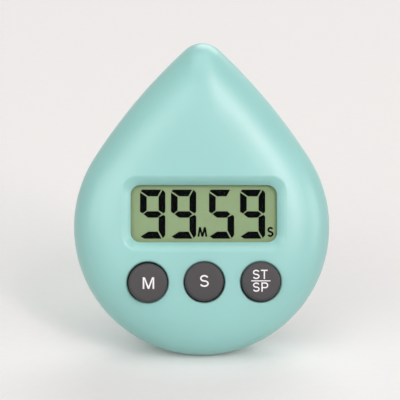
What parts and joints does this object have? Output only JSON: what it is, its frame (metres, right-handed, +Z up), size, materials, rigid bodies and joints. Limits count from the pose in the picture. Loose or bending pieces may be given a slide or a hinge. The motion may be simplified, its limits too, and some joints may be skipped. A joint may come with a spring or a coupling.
{
  "type": "digital kitchen timer",
  "caption": "Drop-shaped digital kitchen timer that leans back on a fold-out stand, with an LCD in a sloped recess, round press buttons, a twist-off battery cap and a magnet in its back.",
  "frame": {"origin": "middle of the flat foot under the drop's round end, where the timer stands on the table", "axes": "+Z up, +X to the right as seen from the front, +Y towards the back; the face looks along -Y and leans back by 17 degrees"},
  "size_m": [0.062, 0.0351, 0.0731],
  "materials": {
    "mint_plastic": "pale mint moulded plastic, satin gloss",
    "grey_plastic": "dark warm grey moulded plastic with white legends",
    "clear_acrylic": "clear flat acrylic",
    "display_glass": "olive-green reflective display with black segments",
    "white_foam": "white foam tape",
    "conductive_rubber": "layered dark and pale rubber",
    "green_laminate": "green glass-fibre laminate",
    "black_epoxy": "cast black epoxy",
    "plated_steel": "bright zinc-plated steel",
    "grey_silicone": "matt silicone rubber",
    "carbon_rubber": "matt black carbon-loaded rubber",
    "brass": "plain rolled brass",
    "white_ceramic": "silvered white ceramic",
    "red_insulation": "red wire insulation",
    "black_insulation": "black wire insulation",
    "nickel": "bright nickel plate"
  },
  "bodies": {
    "case": {"front_case": "mint_plastic", "rear_case": "mint_plastic", "display_window": "clear_acrylic", "lcd_panel": "display_glass", "zebra_strip": "conductive_rubber", "lcd_foam_strip": "white_foam", "circuit_board": "green_laminate", "chip_blob": "black_epoxy", "quartz_crystal": "plated_steel", "rubber_keypad": "grey_silicone", "button_cell": "nickel", "negative_contact": "plated_steel", "positive_contact": "plated_steel", "buzzer_plate": "brass", "buzzer_ceramic": "white_ceramic", "buzzer_signal_wire": "red_insulation", "buzzer_ground_wire": "black_insulation", "magnet": "nickel", "case_screw_top": "plated_steel", "case_screw_left": "plated_steel", "case_screw_right": "plated_steel", "board_screw_1": "plated_steel", "board_screw_2": "plated_steel", "board_screw_3": "plated_steel", "board_screw_4": "plated_steel"},
    "minute_key": {"minute_button": "grey_plastic", "minute_contact_pill": "carbon_rubber"},
    "second_key": {"second_button": "grey_plastic", "second_contact_pill": "carbon_rubber"},
    "start_stop_key": {"start_stop_button": "grey_plastic", "start_stop_contact_pill": "carbon_rubber"},
    "fold_out_stand": {"stand": "mint_plastic"},
    "twist_cap": {"battery_cap": "mint_plastic"}
  },
  "joints": [
    {"name": "minute_button_press", "type": "slide", "parent": "case", "child": "minute_key", "axis": [0, 0.9563, -0.2924], "range_m": [0, 0.0009], "stiffness_N_per_m": 1200, "springref_m": -0.0003, "deforming": ["rubber_keypad"]},
    {"name": "second_button_press", "type": "slide", "parent": "case", "child": "second_key", "axis": [0, 0.9563, -0.2924], "range_m": [0, 0.0009], "stiffness_N_per_m": 1200, "springref_m": -0.0003, "deforming": ["rubber_keypad"]},
    {"name": "start_stop_button_press", "type": "slide", "parent": "case", "child": "start_stop_key", "axis": [0, 0.9563, -0.2924], "range_m": [0, 0.0009], "stiffness_N_per_m": 1200, "springref_m": -0.0003, "deforming": ["rubber_keypad"]},
    {"name": "stand_fold", "type": "hinge", "parent": "case", "child": "fold_out_stand", "pos_m": [0, 0.01272, 0.02331], "axis": [-1, 0, 0], "range_deg": [0, 37.1]},
    {"name": "battery_cap_turn", "type": "hinge", "parent": "case", "child": "twist_cap", "pos_m": [0, 0.01749, 0.03461], "axis": [0, 0.9563, -0.2924], "range_deg": [0, 50]}
  ]
}
